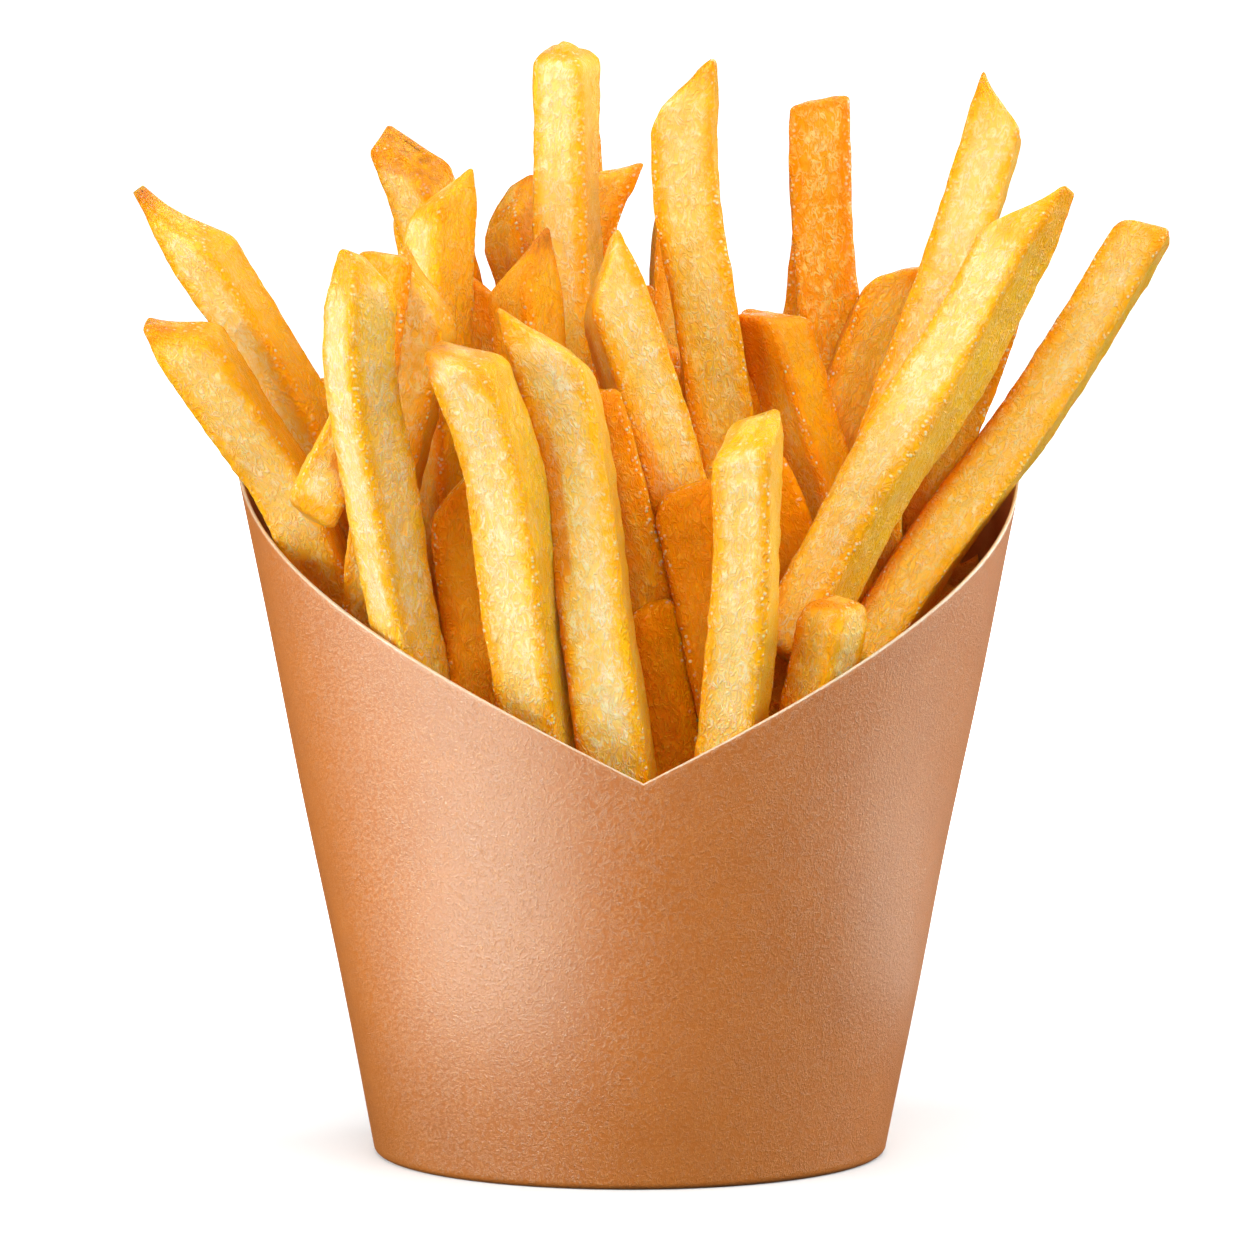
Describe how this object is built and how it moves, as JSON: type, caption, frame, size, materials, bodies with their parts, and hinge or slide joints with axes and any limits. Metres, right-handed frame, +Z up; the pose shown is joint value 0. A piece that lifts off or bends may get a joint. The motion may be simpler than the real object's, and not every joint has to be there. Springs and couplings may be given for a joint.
{
  "type": "french fries in a paper cup",
  "caption": "Kraft paperboard scoop cup with a V-cut front rim, heaped with thick-cut french fries that fan out above it.",
  "frame": {"origin": "on the table, under the middle of the whole object's box; the cup's axis stands about 4 mm toward -X and 6 mm toward -Y of it", "axes": "+Z up; -Y toward the front, where the rim is cut down to a V; +X to the right as seen from the front"},
  "size_m": [0.1456, 0.116, 0.1564],
  "materials": {
    "kraft_board": "matte",
    "base_board": "matte",
    "fried_potato": "satin"
  },
  "bodies": {
    "root": {"cup_wall": "kraft_board", "cup_base": "base_board", "fries": "fried_potato"}
  },
  "joints": []
}
